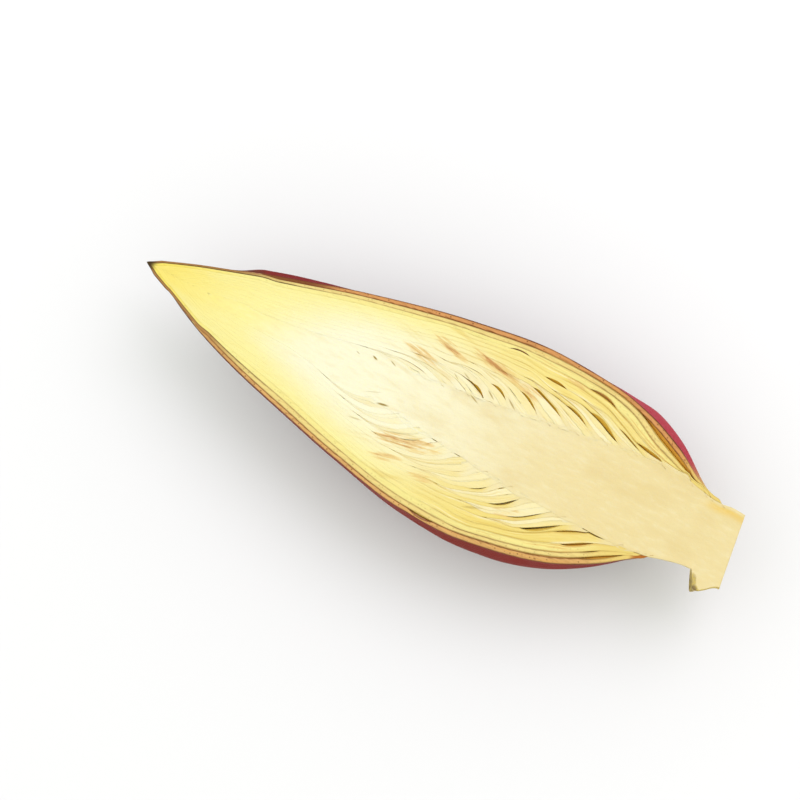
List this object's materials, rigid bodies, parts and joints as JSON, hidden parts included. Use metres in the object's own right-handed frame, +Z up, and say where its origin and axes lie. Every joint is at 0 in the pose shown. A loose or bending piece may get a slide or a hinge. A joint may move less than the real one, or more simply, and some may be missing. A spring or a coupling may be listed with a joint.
{
  "type": "banana blossom half",
  "caption": "Half of a banana blossom cut lengthwise, lying on its back: red outer bracts round nested pale bracts, hands of young florets and a solid core with a stem stub.",
  "frame": {"origin": "on the ground, under the middle of the blossom's bounding box", "axes": "+X towards the stem, -X towards the tip, +Z up from the cut face, which is level"},
  "size_m": [0.2613, 0.0874, 0.0426],
  "materials": {
    "bract_red": "waxy red-purple skin with fine lengthwise ribs, tan where it is cut",
    "bract_yellow": "moist pale yellow plant flesh",
    "floret_cream": "moist cream florets with brown-stained tips",
    "core_beige": "moist fibrous beige pith, and a pale yellow stem skin"
  },
  "bodies": {
    "root": {"stem_and_core": "core_beige", "outer_bract_1": "bract_red", "outer_bract_2": "bract_red", "outer_bract_3": "bract_red", "outer_bract_4": "bract_red", "inner_bract_01": "bract_yellow", "inner_bract_02": "bract_yellow", "inner_bract_03": "bract_yellow", "inner_bract_04": "bract_yellow", "inner_bract_05": "bract_yellow", "inner_bract_06": "bract_yellow", "inner_bract_07": "bract_yellow", "inner_bract_08": "bract_yellow", "inner_bract_09": "bract_yellow", "inner_bract_10": "bract_yellow", "floret_hand_02": "floret_cream", "floret_hand_03": "floret_cream", "floret_hand_04": "floret_cream", "floret_hand_05": "floret_cream", "floret_hand_06": "floret_cream", "floret_hand_07": "floret_cream", "floret_hand_08": "floret_cream", "floret_hand_09": "floret_cream", "floret_hand_10": "floret_cream"}
  },
  "joints": []
}
